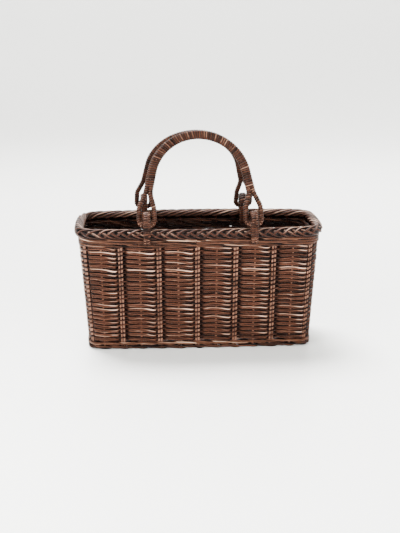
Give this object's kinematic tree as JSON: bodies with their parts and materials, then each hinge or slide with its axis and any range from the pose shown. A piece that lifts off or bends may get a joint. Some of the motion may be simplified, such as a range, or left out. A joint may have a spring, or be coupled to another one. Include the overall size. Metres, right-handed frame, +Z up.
{
  "type": "wicker box bag",
  "caption": "Woven wicker box bag with a plaited rim and hoop handles that swing on wrapped ears.",
  "frame": {"origin": "on the ground under the middle of the base", "axes": "+X along the bag, +Y from the front to the back, +Z up through the open top"},
  "size_m": [0.3444, 0.159, 0.2962],
  "materials": {
    "weave": "satin stained cane",
    "stick": "satin stained cane",
    "wale": "satin stained cane",
    "border": "satin stained cane",
    "binding": "satin stained flat cane",
    "core_rod": "stained cane"
  },
  "bodies": {
    "basket": {"back_left_ear_binding": "binding", "back_left_ear_rods": "core_rod", "back_right_ear_binding": "binding", "back_right_ear_rods": "core_rod", "base_sticks": "stick", "base_weave": "weave", "double_stakes": "stick", "foot_wale": "wale", "front_left_ear_binding": "binding", "front_left_ear_rods": "core_rod", "front_right_ear_binding": "binding", "front_right_ear_rods": "core_rod", "plaited_border": "border", "side_weave": "weave", "single_stakes": "stick", "top_wale": "wale"},
    "front_handle": {"front_handle_rods": "core_rod", "front_grip_binding": "binding", "front_left_eyelet_binding": "binding", "front_right_eyelet_binding": "binding"},
    "back_handle": {"back_handle_rods": "core_rod", "back_grip_binding": "binding", "back_left_eyelet_binding": "binding", "back_right_eyelet_binding": "binding"}
  },
  "joints": [
    {"name": "front_handle_swing", "type": "hinge", "parent": "basket", "child": "front_handle", "pos_m": [0, -0.06464, 0.17615], "axis": [1, 0, 0], "range_deg": [0, 125]},
    {"name": "back_handle_swing", "type": "hinge", "parent": "basket", "child": "back_handle", "pos_m": [-0.003, 0.06464, 0.17615], "axis": [-1, 0, 0], "range_deg": [0, 125]}
  ]
}
